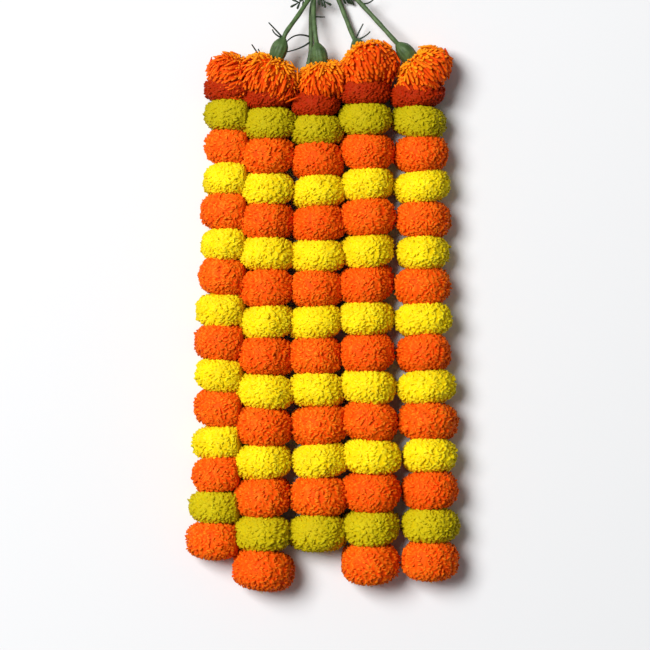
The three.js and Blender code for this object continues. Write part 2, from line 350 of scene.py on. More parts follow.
def core(radius, half, phases, lean, rng):
    """A closed superellipsoid of revolution about y, as lumpy and settled as the flower, moved out
    and in by CORE_FOLD along its crests. Its sides stand closer together above than below."""
    turn = np.linspace(-math.pi / 2, math.pi / 2, CORE_RINGS + 2)[1:-1, None]
    angle = np.arange(CORE_SIDES) * 2 * math.pi / CORE_SIDES - math.pi
    angle = angle - SPARE_BELOW * np.sin(angle)
    height = half * np.sign(turn) * np.abs(np.sin(turn)) ** (2 / SQUARENESS)
    height = np.broadcast_to(height, (CORE_RINGS, CORE_SIDES))
    relief = crests(angle * radius, height, rng)
    ring = radius * settled(angle) * lumps_at(angle, phases) * np.abs(np.cos(turn)) ** (2 / SQUARENESS)
    ring = ring + CORE_FOLD * (2 * relief - 1)
    wall = np.stack([ring * np.sin(angle), height, ring * np.cos(angle)], axis=-1).reshape(-1, 3)
    quads, triangles = wall_faces(CORE_RINGS, CORE_SIDES)
    points = np.concatenate([wall, [[0, -half, 0], [0, half, 0]]])
    # The folds take the ramp's deeper root colour and the crests its light tip: partly the petals' own
    # colour, partly a painted shade in the folds and a painted highlight on the crests.
    along = np.append(FOLD_SHADE + (1 - FOLD_SHADE) * relief.ravel(), [0.5, 0.5])
    return shape_of(points, quads, triangles, unit(points + 1e-6), along=along, tone=(1 + lean) / 2)


# %% Build one strung marigold
PETAL_COUNT = 384
PETAL_LENGTH = 9.0
PETAL_GIRTH = 2.6
GIRTH_SPREAD = 0.25
PETAL_FLATNESS = 0.42
RUFFLE = 1.0
TURN_SCATTER = 0.06
DEPTH_SCATTER = 0.026
WAY_SCATTER = 0.17
ROLL_SCATTER = 0.7
TILT_SCATTER = 0.08


def turned_by(points, about_x, about_z):
    """Points turned about x and then about z."""
    cx, sx, cz, sz = math.cos(about_x), math.sin(about_x), math.cos(about_z), math.sin(about_z)
    first = np.array([[1, 0, 0], [0, cx, -sx], [0, sx, cx]])
    second = np.array([[cz, -sz, 0], [sz, cz, 0], [0, 0, 1]])
    return points @ (second @ first).T


def marigold(middle, radius, half, press, rng, open_ends, lean, tint):
    """A strung marigold with its thread along y: petals over a core, tilted a little, then pressed.
    The outward direction of the outline is radius share^(p-1) / radius out from the thread and
    height^(p-1) / half along it, and each petal grows that way."""
    count = PETAL_COUNT
    angle, height, share = cushion_tips(radius, half, count, open_ends)
    angle = angle + rng.normal(0, TURN_SCATTER, count)
    phases = rng.uniform(0, 2 * math.pi, 2)
    lumps = lumps_at(angle, phases) * settled(angle) + rng.normal(0, DEPTH_SCATTER, count)
    out = np.stack([np.sin(angle), np.zeros(count), np.cos(angle)], axis=1)
    up = np.array([0.0, 1.0, 0.0])
    tip = out * (radius * share * lumps)[:, None] + up * (half * height)[:, None]
    steep = np.sign(height) * np.abs(height) ** (SQUARENESS - 1) / half
    way = unit(out * (share ** (SQUARENESS - 1) / radius)[:, None] + up * steep[:, None])
    way = unit(way + rng.normal(0, WAY_SCATTER, (count, 3)))
    around = np.stack([np.cos(angle), np.zeros(count), -np.sin(angle)], axis=1)
    roll = rng.normal(0, ROLL_SCATTER, count)[:, None]
    wide = unit(np.cos(roll) * around + np.sin(roll) * np.cross(way, around))
    wide = squared(wide, way)
    girth = PETAL_GIRTH * rng.uniform(1 - GIRTH_SPREAD, 1 + GIRTH_SPREAD, count)
    phase = rng.uniform(0, 2 * math.pi, count)
    tone = lean + (1 - lean) * rng.uniform(0, 1, count)
    frill = petals(
        SHORT_PETAL, tip, way, wide, PETAL_LENGTH, girth, PETAL_FLATNESS,
        ruffle=RUFFLE, phase=phase, tone=tone)
    whole = joined(core(radius * CORE_SHARE, half * CORE_SHARE, phases, lean, rng), frill)
    points = turned_by(whole["points"], *rng.normal(0, TILT_SCATTER, 2)) + middle
    whole["points"] = pressed(points, *press)
    whole["outward"] = unit(whole["points"] - middle)
    # The whole flower turns to its third colour by tint, a painted shade on a string's first two
    # flowers.
    whole["tint"] = np.full(len(points), tint)
    return whole


# %% [markdown]
# ## Petal colour
# A marigold petal is deep and warm where it grows and lighter at its ruffled tip, and no two
# are alike. The ramp reads `along`; its deep root and light tip are partly the petal's own colour
# and partly painted: a painted shade deep between the petals and a painted highlight on the tips.
# Each petal's `tone` then leans it towards a second colour.
# A little light enters a petal and comes out again, so the shader gets some subsurface, and fine
# veins come from a wave across the petal's own map.

# %% Petal material
def ramp(tree, stops):
    """A ColorRamp node with these (place, colour) stops."""
    node = tree.nodes.new("ShaderNodeValToRGB")
    while len(node.color_ramp.elements) < len(stops):
        node.color_ramp.elements.new(0.5)
    for element, (place, colour) in zip(node.color_ramp.elements, stops):
        element.position = place
        element.color = (*colour, 1)
    return node


def mixed(tree, kind, share, first, second):
    """A colour Mix node. share, first and second are sockets or plain values. Returns its result."""
    node = tree.nodes.new("ShaderNodeMix")
    node.data_type = "RGBA"
    node.blend_type = kind
    for socket, value in zip((node.inputs[0], node.inputs[6], node.inputs[7]), (share, first, second)):
        if isinstance(value, bpy.types.NodeSocket):
            tree.links.new(value, socket)
        else:
            socket.default_value = value if isinstance(value, float) else (*value, 1)
    return node.outputs[2]


def measure(tree, name, low, high):
    """An attribute of the mesh, stretched from 0..1 to low..high."""
    read = tree.nodes.new("ShaderNodeAttribute")
    read.attribute_name = name
    spread = tree.nodes.new("ShaderNodeMapRange")
    spread.inputs["To Min"].default_value = low
    spread.inputs["To Max"].default_value = high
    tree.links.new(read.outputs["Fac"], spread.inputs["Value"])
    return spread.outputs["Result"]


def plain_material(name, roughness):
    """A material with only its Principled shader, and its tree."""
    made = bpy.data.materials.new(name)
    made.use_nodes = True
    shader = made.node_tree.nodes["Principled BSDF"]
    shader.inputs["Roughness"].default_value = roughness
    return made, made.node_tree, shader


def own_map(tree):
    """The socket that gives a piece's own map: across and along."""
    node = tree.nodes.new("ShaderNodeUVMap")
    node.uv_map = "own_map"
    return node.outputs["UV"]


def raised(tree, shader, height, strength, distance):
    """Bump on the shader, by height times so many metres."""
    relief = tree.nodes.new("ShaderNodeBump")
    relief.inputs["Strength"].default_value = strength
    relief.inputs["Distance"].default_value = distance
    tree.links.new(height, relief.inputs["Height"])
    tree.links.new(relief.outputs["Normal"], shader.inputs["Normal"])


def petal_material(name, stops, other, tint_and_shade_colour, glow):
    """A petal's finish: stops run from root to tip, with a deep root and a light tip that are partly
    the petal's own colour and partly a painted shade and a painted highlight, other is the colour
    some petals lean to, tint_and_shade_colour is the colour where tint is 1, which on the
    strung flowers is a painted shade for a string's first two and darkens its last yellow one, and
    glow is the subsurface radius in red, green and blue."""
    made, tree, shader = plain_material(name, 0.62)
    # Root to tip: partly the petal's own colour, partly a painted shade deep between the petals and a
    # painted highlight on the tips.
    body = ramp(tree, stops)
    tree.links.new(measure(tree, "along", 0, 1), body.inputs["Fac"])
    leaned = mixed(tree, "MIX", measure(tree, "tone", 0, 0.6), body.outputs["Color"], other)
    patches = tree.nodes.new("ShaderNodeTexNoise")
    patches.inputs["Scale"].default_value = 60
    where = tree.nodes.new("ShaderNodeTexCoord")
    tree.links.new(where.outputs["Object"], patches.inputs["Vector"])
    uneven = ramp(tree, [(0.3, (0.86, 0.8, 0.7)), (0.7, (1, 1, 1))])
    tree.links.new(patches.outputs["Fac"], uneven.inputs["Fac"])
    patched = mixed(tree, "MULTIPLY", 1.0, leaned, uneven.outputs["Color"])
    # tint turns the colour to the third one: a painted shade on a string's first two flowers.
    colour = mixed(tree, "MIX", measure(tree, "tint", 0, 1), patched, tint_and_shade_colour)
    tree.links.new(colour, shader.inputs["Base Color"])
    shader.inputs["Subsurface Weight"].default_value = 0.1
    shader.inputs["Subsurface Radius"].default_value = glow
    shader.inputs["Subsurface Scale"].default_value = 0.001
    shader.inputs["Specular IOR Level"].default_value = 0.06
    veins = tree.nodes.new("ShaderNodeTexWave")
    veins.inputs["Scale"].default_value = 2.2
    veins.inputs["Distortion"].default_value = 1.5
    tree.links.new(own_map(tree), veins.inputs["Vector"])
    raised(tree, shader, veins.outputs["Fac"], 0.12, 0.0004)
    return made


# The third colours, dark olive and dark red, are a painted shade on a string's first two flowers,
# under the heads; the last yellow flower turns to the olive as well.
YELLOW = petal_material(
    "yellow_petals",
    [(0.0, (0.90, 0.65, 0.003)), (0.6, (0.91, 0.72, 0.004)),
     (0.87, (0.91, 0.78, 0.006)), (1.0, (0.96, 0.9, 0.05))],
    (0.90, 0.62, 0.003), (0.40, 0.33, 0.003), (1.0, 0.7, 0.1))
ORANGE = petal_material(
    "orange_petals",
    [(0.0, (0.88, 0.08, 0.001)), (0.6, (0.91, 0.11, 0.002)),
     (0.87, (0.92, 0.16, 0.003)), (1.0, (0.97, 0.32, 0.02))],
    (0.82, 0.055, 0.002), (0.33, 0.013, 0.001), (1.0, 0.35, 0.05))
print("petal materials:", YELLOW.name, ORANGE.name)

# %% [markdown]
# ## The five strings
# Each string hangs from its first yellow flower to its last. Yellow and orange share the length
# of a pair unevenly, because the orange ones are plumper. In a string's row, lift is how far its
# middle flowers sit above even steps, slip is how far they wander to the left and right of the
# thread, and plump is their size beside the CAD's. The ends, lifts and slips are those of the CAD.
#
# The six boundaries run from left of the first string to right of the last. LEANS tells how much
# a boundary leans, so that one string lies over the next, and SHIFTS how far it is moved aside.
# Petals stand out by FRINGE beyond the flower's radius, and by PROUD past a boundary. OPEN_SIDE
# puts the planes at the garland's free sides out of reach.

# %% Hang the flowers on their threads
FLOWER_RADIUS = 28.5
RADIUS_SPREAD = 0.04
REST_HEIGHT = 0.93
YELLOW_SHARE = 0.47
YELLOW_COUNT = 7
FIRST_DEPTH = 27
PROUD = 3.6
FRINGE = 3.2
OPEN_SIDE = 60
STRINGS = [
    {"first": (-109, -19.5), "last": (-125, -470), "lift": 1.5, "slip": 1.5, "plump": 1.0,
     "ends_orange": True},
    {"first": (-66, -29), "last": (-73, -500), "lift": 7, "slip": -1.2, "plump": 1.09,
     "ends_orange": True},
    {"first": (-11, -37), "last": (-9, -499.5), "lift": 11, "slip": 2.4, "plump": 1.05,
     "ends_orange": False},
    {"first": (45, -24), "last": (51, -493.5), "lift": 6, "slip": 2.2, "plump": 1.06,
     "ends_orange": True},
    {"first": (107, -27), "last": (119, -491), "lift": 4.5, "slip": 1.5, "plump": 1.03,
     "ends_orange": True},
]
LEANS = [0.0, 0.22, 0.03, -0.03, 0.0, 0.0]
SHIFTS = [0.0, -3.0, 2.5, 0.0, 0.0, 0.0]


def height_at(string, step):
    """Height on a string by steps from one yellow flower to the next, 0 at the first and 6 at the
    last: even steps + lift x 4 x share x (1 - share)."""
    share = step / (YELLOW_COUNT - 1)
    even = string["first"][1] * (1 - share) + string["last"][1] * share
    return even + string["lift"] * 4 * share * (1 - share)


def down_share(string, y):
    """0 at the string's first yellow flower and 1 at its last."""
    return (string["first"][1] - y) / (string["first"][1] - string["last"][1])


def line_at(string, y):
    """x of the thread at height y."""
    share = down_share(string, y)
    return string["first"][0] * (1 - share) + string["last"][0] * share


def radius_at(string, y):
    """A flower's radius at height y: RADIUS_SPREAD smaller at the top and larger at the bottom."""
    return FLOWER_RADIUS * string["plump"] * (1 + RADIUS_SPREAD * (2 * down_share(string, y) - 1))


def middle_at(string, y):
    """The middle of a flower: slip x sin(3 pi x its share of the way down) beside the thread."""
    aside = string["slip"] * math.sin(3 * math.pi * down_share(string, y))
    return np.array([line_at(string, y) + aside, y, REST_HEIGHT * radius_at(string, y)])


def press_at(index, y):
    """The planes that press on a flower of a string: half way to the next thread, moved by the
    boundary's shift and PROUD past it, so that the petals of two strings mesh."""
    here = line_at(STRINGS[index], y)
    sides = []
    for other, step in ((index - 1, -1), (index + 1, 1)):
        inside = 0 <= other < len(STRINGS)
        edge = (here + line_at(STRINGS[other], y)) / 2 if inside else here + step * OPEN_SIDE
        sides.append(edge + SHIFTS[max(index, other)] + step * PROUD)
    rest = REST_HEIGHT * radius_at(STRINGS[index], y)
    return (*sides, LEANS[index], LEANS[index + 1], rest)


def run_of_flowers(string):
    """(colour, middle y, depth, CAD node's last words) of a string's flowers, from the top."""
    half = YELLOW_SHARE / 2
    flowers = [("orange", height_at(string, -half) + FIRST_DEPTH / 2, FIRST_DEPTH, "first_orange")]
    for k in range(YELLOW_COUNT):
        top, waist, bottom = (height_at(string, k + step) for step in (-half, half, 1 - half))
        paired = string["ends_orange"] or k < YELLOW_COUNT - 1
        node = f"pair_{k + 1}" if paired else "last_yellow"
        flowers.append(("yellow", (top + waist) / 2, top - waist, node))
        if paired:
            flowers.append(("orange", (waist + bottom) / 2, waist - bottom, node))
    return flowers


print("flowers on the strings:", sum(len(run_of_flowers(s)) for s in STRINGS))

# %% [markdown]
# ## No two flowers alike
# Every flower has its own random seed, from its string and its place, so one flower can be
# changed without touching the others. Its size is a little off, and it leans to its second
# colour by up to its string's REDNESS, as if each string came from a bed of its own. A string's
# first two flowers are darker, a painted shade from the big heads above them: they turn to their
# third colour by TOP_PAINTED_SHADE. Its last yellow one is darker too, by END_TINT.

# %% Grow the strung marigolds
FINISH = {"yellow": YELLOW, "orange": ORANGE}
SIZE_RANGE = (0.97, 1.03)
FEW_TIPS = 0.25
REDNESS = [0.5, 0.5, 0.9, 0.7, 0.7]
# A painted shade on a string's first two flowers, which lie in the shade of the heads above.
TOP_PAINTED_SHADE = [0.9, 0.85]
END_TINT = 0.7


def shade_and_tint_of(place, last_yellow):
    """How far a flower turns to its third colour: a painted shade for a string's first two flowers,
    and a plain darkening for its last yellow one.
    """
    if place < len(TOP_PAINTED_SHADE):
        return TOP_PAINTED_SHADE[place]
    return END_TINT if last_yellow else 0.0


triangles = 0
for index, string in enumerate(STRINGS):
    counts = {"yellow": 0, "orange": 0}
    run = run_of_flowers(string)
    for place, (colour, y, depth, node) in enumerate(run):
        counts[colour] += 1
        rng = np.random.default_rng([index, place])
        last = place == len(run) - 1
        last_yellow = colour == "yellow" and counts[colour] == YELLOW_COUNT
        radius = radius_at(string, y) * rng.uniform(*SIZE_RANGE) + FRINGE
        lean = REDNESS[index] * rng.uniform(0, 1)
        flower = marigold(
            middle_at(string, y), radius, depth / 2 + FRINGE, press_at(index, y), rng,
            (1.0 if last else FEW_TIPS, FEW_TIPS), lean, shade_and_tint_of(place, last_yellow))
        made = piece(
            f"string_{index + 1}_{colour}_{counts[colour]}", flower, FINISH[colour],
            [f"string_{index + 1}_{node}"])
        triangles += triangles_in(made)
print("strung marigolds hold", triangles, "triangles")

# %% [markdown]
# ## Tubes along a path
# Stems, leaf stalks, threads and twine are all one shape: a ring of points carried along a line. The
# line is a spline through a few places, walked in even steps so that the rings stay evenly
# spaced. Ribs and the twist of a rope are a cosine round the ring, which turns with the length.

# %% Carry a ring along a line
SPAN_CUTS = 40


def smooth_route(through, step):
    """A centripetal Catmull-Rom spline through the places, cut into pieces about step long. Each
    span is a cubic from its own two ends and the ways there, and the ends of the line are
    continued straight on."""
    through = np.array(through, float)
    ends = np.concatenate([[2 * through[0] - through[1]], through, [2 * through[-1] - through[-2]]])
    gap = np.linalg.norm(np.diff(ends, axis=0), axis=1, keepdims=True) ** 0.5
    a, b, c, d = ends[:-3], ends[1:-2], ends[2:-1], ends[3:]
    g0, g1, g2 = gap[:-2], gap[1:-1], gap[2:]
    out = ((b - a) / g0 - (c - a) / (g0 + g1) + (c - b) / g1) * g1
    into = ((c - b) / g1 - (d - b) / (g1 + g2) + (d - c) / g2) * g1
    t = np.linspace(0, 1, SPAN_CUTS, endpoint=False)[:, None, None]
    line = b + out * t + (3 * (c - b) - 2 * out - into) * t**2 + (2 * (b - c) + out + into) * t**3
    line = np.concatenate([line.transpose(1, 0, 2).reshape(-1, 3), through[-1:]])
    return even_steps(line, step)


def length_of(line):
    """The sum of the distances between the line's places."""
    return float(np.linalg.norm(np.diff(line, axis=0), axis=1).sum())


def even_steps(line, step):
    """The line's places at even distances along it, about step apart."""
    far = np.concatenate([[0], np.cumsum(np.linalg.norm(np.diff(line, axis=0), axis=1))])
    even = np.linspace(0, far[-1], max(2, round(far[-1] / step)) + 1)
    return np.stack([np.interp(even, far, line[:, k]) for k in range(3)], axis=1)


def tube(line, radius, sides, square_to, ribs=0, rib_depth=0.0, turns=0.0, **measures):
    """A closed tube. At each place of the line, side is square to the line's way and to square_to,
    and over is square to both. A point is place + (side x cos(a) + over x sin(a)) x radius
    x (1 + rib_depth x cos(ribs x a - the turn so far)), for angles a all the way round."""
    radius = np.broadcast_to(radius, len(line))[:, None, None]
    way = unit(np.gradient(line, axis=0))
    side = unit(np.cross(way, square_to))
    over = np.cross(way, side)
    angle = np.arange(sides) * 2 * math.pi / sides
    share = np.linspace(0, 1, len(line))[:, None]
    wave = 1 + rib_depth * np.cos(ribs * angle - 2 * math.pi * turns * share)
    ring = side[:, None] * np.cos(angle)[:, None] + over[:, None] * np.sin(angle)[:, None]
    wall = line[:, None] + radius * wave[..., None] * ring
    quads, triangles = wall_faces(len(line), sides)
    points = np.concatenate([wall.reshape(-1, 3), line[[0, -1]]])
    values = {"along": share, "across": 0.5 - 0.5 * np.cos(angle), **measures}
    grids = {key: np.broadcast_to(value, (len(line), sides)) for key, value in values.items()}
    ends = {key: np.append(grid.ravel(), [grid[0, 0], grid[-1, 0]]) for key, grid in grids.items()}
    return shape_of(points, quads, triangles, **ends)


# %% [markdown]
# ## A stemmed marigold
# The five large marigolds still have their stems, and their petals are rolled into long fingers
# with round light ends. The flower is a dome that opens away from its green cup, and the fingers
# are spread evenly over it by the golden angle again. Near the cup they stand out sideways, and
# further on they lie over each other towards the face, so each one leans between the dome's
# outward direction and the way from the cup to the face. They are yellow-orange at the cup and
# redder further on.
#
# In a flower's row below, at is the middle of its CAD solid, face is the way it looks, half is
# half its depth, sunk is how far its cup reaches into it and girth is that of its fingers. Loose
# petals spread beyond the solid, so the dome swells by SWELL away from the cup.

# %% Grow a dome of fingers
DOME = [(0.0, -1.0), (0.5, -0.94), (0.88, -0.5), (1.0, 0.05), (0.9, 0.55), (0.55, 0.9), (0.0, 1.0)]
UNDER_CUP = 0.22
FINGER_COUNT = 400


def dome_outline():
    """(radius, height) along the dome's outline in even steps, as shares of the flower's own."""
    return smooth_route([(r, h, 0) for r, h in DOME], 0.05)[:, :2]


def finger_places(radius, half):
    """Each tip's radius and height share, and the outline's way there. The outline is walked so that
    every tip has the same area, and there are none under the cup."""
    r, h = dome_outline().T
    step = np.hypot(np.diff(r) * radius, np.diff(h) * half)
    seen = r[1:] > np.where(h[1:] < 0, UNDER_CUP, 0.0)
    area = np.concatenate([[0], np.cumsum(step * (r[1:] + r[:-1]) * seen)])
    at = np.arange(len(r))
    pick = np.interp((np.arange(FINGER_COUNT) + 0.5) / FINGER_COUNT * area[-1], area, at)
    return [np.interp(pick, at, each) for each in (r, h, np.gradient(r), np.gradient(h))]


# %% Grow a head of fingers
FINGER_LENGTH = 17.0
LENGTH_RANGE = (0.8, 1.15)
GIRTH_RANGE = (0.8, 1.2)
FINGER_FLATNESS = 0.7
CURL = 0.12
CURL_RANGE = (0.2, 1.3)
OUTWARD_RANGE = (0.35, 0.75)
LOOSE_BY = 1.03
HEART_SHARE = 0.86
SCATTER = {"turn": 0.05, "bulk": 0.035, "way": 0.16, "wide": 0.15, "tint": 0.12}
TINT_AT, TINT_LEVEL, TINT_FALL = -0.35, 0.55, 0.9


def stemmed_head(at, face, radius, half, girth, rng):
    """A heart under fingers. A finger grows along lean x the dome's outward direction
    + (1 - 0.3 x lean) x the outline's way. Its tint is TINT_LEVEL at height TINT_AT, and falls by
    TINT_FALL x the height from there."""
    look = unit(np.array(face, float))
    first = unit(np.cross(look, UPWARDS))
    second = np.cross(look, first)
    r, h, dr, dh = finger_places(radius, half)
    count = FINGER_COUNT
    angle = np.arange(count) * GOLDEN_ANGLE + rng.normal(0, SCATTER["turn"], count)
    out = np.cos(angle)[:, None] * first + np.sin(angle)[:, None] * second
    onward = unit(out * (dr * radius)[:, None] + look * (dh * half)[:, None])
    normal = unit(out * (dh * half)[:, None] - look * (dr * radius)[:, None])
    bulk = rng.normal(LOOSE_BY, SCATTER["bulk"], count)[:, None]
    tip = (out * (r * radius)[:, None] + look * (h * half)[:, None]) * bulk
    lean = rng.uniform(*OUTWARD_RANGE, count)[:, None]
    aimed = lean * normal + (1 - 0.3 * lean) * onward
    way = unit(aimed + rng.normal(0, SCATTER["way"], (count, 3)))
    wide = unit(np.cross(way, normal) + rng.normal(0, SCATTER["wide"], (count, 3)))
    wide = squared(wide, way)
    fallen = TINT_LEVEL - TINT_FALL * (h - TINT_AT)
    tint = np.clip(fallen + rng.normal(0, SCATTER["tint"], count), 0, 1)
    length = FINGER_LENGTH * rng.uniform(*LENGTH_RANGE, count)
    girths = girth * rng.uniform(*GIRTH_RANGE, count)
    curl = -CURL * rng.uniform(*CURL_RANGE, count)
    frill = petals(
        LONG_PETAL, tip, way, wide, length, girths, FINGER_FLATNESS,
        curl=curl, tone=rng.uniform(0, 1, count), tint=tint)
    outline = dome_outline()[1:-1]
    line = look * (outline[:, 1:] * half * HEART_SHARE)
    # The heart takes the ramp's deeper colour at 0.45: partly the petals' own base, partly a painted
    # shade between the fingers.
    heart = tube(line, outline[:, 0] * radius * HEART_SHARE, 20, first, along=0.45, tone=0.5)
    whole = joined(heart, frill)
    x, y, z = (whole["points"] + at).T
    whole["points"] = np.stack([x, y, -held_below(-z, 0)], axis=1)
    return whole


# %% Grow the stemmed marigolds
SWELL = 1.14
TOP_FLOWERS = [
    {"at": (-107, 24, 26.5), "face": (-0.8, -0.46, 0.35), "radius": 26.5, "half": 21, "sunk": 3,
     "girth": 1.5},
    {"at": (-65, 25.5, 36), "face": (-0.36, -0.92, -0.12), "radius": 32, "half": 22, "sunk": 1,
     "girth": 1.7},
    {"at": (-3, 21.5, 28.5), "face": (0.18, -0.97, -0.1), "radius": 29, "half": 20, "sunk": 3,
     "girth": 1.8},
    {"at": (48, 37, 31), "face": (0.38, -0.8, 0.46), "radius": 30, "half": 22, "sunk": 8,
     "girth": 2.2},
    {"at": (111, 31, 29.5), "face": (0.68, -0.72, -0.12), "radius": 30, "half": 21, "sunk": 3,
     "girth": 2.1},
]
TOP_ORANGE = petal_material(
    "top_orange_petals",
    [(0.0, (0.7, 0.04, 0.001)), (0.5, (0.9, 0.1, 0.002)),
     (0.85, (0.95, 0.16, 0.004)), (1.0, (0.98, 0.27, 0.02))],
    (0.86, 0.07, 0.002), (0.95, 0.34, 0.008), (1.0, 0.35, 0.05))

for index, top in enumerate(TOP_FLOWERS):
    rng = np.random.default_rng([50, index])
    half = top["half"] * SWELL
    middle = np.array(top["at"]) + unit(np.array(top["face"])) * (half - top["half"])
    head = stemmed_head(middle, top["face"], top["radius"] * SWELL, half, top["girth"], rng)
    made = piece(
        f"stemmed_marigold_{index + 1}", head, TOP_ORANGE,
        [f"top_flower_{index + 1}"])
    print(made.name, "has", triangles_in(made), "triangles")

# %% [markdown]
# ## Green: stem, cup, teeth, stalks and leaflets
# A marigold's stem is finely ribbed, and swells into a ribbed cup whose teeth lie against the first
# petals. Thin dark stalks show where leaves were stripped off, and a few small leaves are left
# high up. All of it grows as one piece, so all of it is one mesh. The stem's line goes through
# the same places as in the CAD, from the cup's neck to its slot in the binding. A stalk or leaf
# starts at a share along that line, and its other places are counted from there.

# %% Lines of the stems
CUP_LENGTH = 25
NECK_STRAIGHT = 5
STEM_RADIUS = 2.8
BINDING_LENGTH = 15
BUNDLE_RADIUS = 6.1
BUNDLE_HEIGHT = 11.3
STEM_TAIL = 20
GATHER = 9
SLOT_ANGLES = [234, 90, 162, 306, 18]
BOWS = [0, 2, -4, 0, 1]
HIDDEN_ROUTE = [(-66, 33, 7), (-45, 24, 4.2), (-27, 27, 5), (-18.5, 50, 8), (-16.5, 105, 11)]


def cup_ends(top):
    """The way a top flower looks, its cup's end inside it, and its cup's neck."""
    look = unit(np.array(top["face"], float))
    back = np.array(top["at"]) + look * (top["sunk"] - top["half"])
    return look, back, back - look * CUP_LENGTH


def slot_at(index, end):
    """The middle of a stem's slot in the binding, at its lower (-1) or upper (1) end."""
    angle = math.radians(SLOT_ANGLES[index])
    return np.array([
        BINDING_MIDDLE[0] + BUNDLE_RADIUS * math.cos(angle),
        BINDING_MIDDLE[1] + end * BINDING_LENGTH / 2,
        BUNDLE_HEIGHT + BUNDLE_RADIUS * math.sin(angle)])


def stem_line(index):
    """Out of the cup, up with its bow, through the slot and on, spreading a little."""
    look, _, neck = cup_ends(TOP_FLOWERS[index])
    entry, leave = slot_at(index, -1), slot_at(index, 1)
    knee, turn = neck - look * NECK_STRAIGHT, entry - (0, GATHER, 0)
    bow = np.array([BOWS[index], 0, 0])
    way = [knee, knee + (turn - knee) * 0.35 + bow, knee + (turn - knee) * 0.7 + bow]
    spread = (leave - slot_at(2, 1)) * (0.25, 0.25, 0)
    places = [neck + look, *(HIDDEN_ROUTE if index == 0 else way), turn, entry, leave]
    return smooth_route([*places, leave + (0, STEM_TAIL, 0) + spread], 2.0)


for index in range(len(TOP_FLOWERS)):
    print("stem", index + 1, "is", round(length_of(stem_line(index))), "mm long")

# %% Stems, cups and what grows on them
CUP_PROFILE = [(0, 2.9), (3, 5.4), (8, 8.4), (14, 9.5), (21, 8.9), (25, 7.4)]
CUP_RIB = 0.045
TEETH = 11
TOOTH = {"ring": 10.2, "length": 9.0, "girth": (1.7, 2.3), "flatness": 0.35}
TOOTH_REACH = (0.5, 3.5)
TOOTH_SPREAD = (0.25, 0.6)
STALK_RADIUS = 1.0
STALKS = [
    {"stem": 0, "along": 0, "middle": (-6, 9, 6), "tip": (-12.5, 18.5, 10)},
    {"stem": 0, "along": 0.01, "middle": (-3, 8, 6), "tip": (-6, 15, 9)},
    {"stem": 0, "along": 0.44, "middle": (-8, -9, 8), "tip": (-27, -14, 17)},
    {"stem": 0, "along": 0.455, "middle": (-17, 7, 9), "tip": (-28, -7, 20)},
    {"stem": 1, "along": 0, "middle": (-8, 9, 2), "tip": (-17, 18, 4)},
    {"stem": 1, "along": 0, "middle": (-11, 4, 3), "tip": (-12.5, 10, 5)},
    {"stem": 2, "along": 0.25, "middle": (5, -1.5, 1), "tip": (13, -1, -1)},
    {"stem": 3, "along": 0, "middle": (4, 9, 2), "tip": (9.5, 19, 3)},
    {"stem": 3, "along": 0, "middle": (12, 3, 2), "tip": (17.5, 10, 3)},
    {"stem": 4, "along": 0.4, "middle": (9, -3, 0), "tip": (17, 6, -1)},
]
LEAVES = [
    {"stem": 1, "along": 0.42, "way": (-14, -6, -3), "leaflets": 7, "size": 9},
    {"stem": 1, "along": 0.5, "way": (-18, 2, 3), "leaflets": 9, "size": 9},
    {"stem": 2, "along": 0.44, "way": (13, -7, 4), "leaflets": 7, "size": 8},
    {"stem": 2, "along": 0.55, "way": (22, -6, 2), "leaflets": 9, "size": 9},
    {"stem": 3, "along": 0.43, "way": (16, -2, -3), "leaflets": 9, "size": 9},
]
RIB_RADIUS = 0.6
BLADE_GIRTH = 1.5
BLADE_FLATNESS = 0.16
LEAF_TINT = 0.9


def bend_line(root, middle, tip, step):
    """A quadratic Bezier curve: root x (1-t) squared + middle x 2t(1-t) + tip x t squared."""
    t = np.linspace(0, 1, 25)[:, None]
    return even_steps(root * (1 - t) ** 2 + middle * 2 * t * (1 - t) + tip * t**2, step)


def cup_of(top, rng):
    """The cup: CUP_PROFILE turned about the flower's look, with ribs that fade at the neck."""
    look, _, neck = cup_ends(top)
    across = unit(np.cross(look, UPWARDS))
    profile = smooth_route([(y, r, 0) for y, r in CUP_PROFILE], 0.9)
    ribbed = (CUP_RIB * np.clip(profile[:, 0] / 10, 0, 1))[:, None]
    body = tube(
        neck + look * profile[:, :1], profile[:, 1], 44, across, TEETH, ribbed,
        along=np.clip(profile[:, :1] / CUP_LENGTH, 0, 1), tone=0.35)
    angle = np.arange(TEETH) * 2 * math.pi / TEETH
    over = np.cross(look, across)
    out = np.cos(angle)[:, None] * across + np.sin(angle)[:, None] * over
    way = unit(out * rng.uniform(*TOOTH_SPREAD, (TEETH, 1)) + look)
    wide = np.cross(out, look)
    wide = squared(wide, way)
    reach = CUP_LENGTH + rng.uniform(*TOOTH_REACH, (TEETH, 1))
    tip = neck + out * TOOTH["ring"] + look * reach
    girth = rng.uniform(*TOOTH["girth"], TEETH)
    teeth = petals(
        LONG_PETAL, tip, way, wide, TOOTH["length"], girth, TOOTH["flatness"],
        curl=0.05, tone=0.2, tint=0.35)
    return joined(body, teeth)


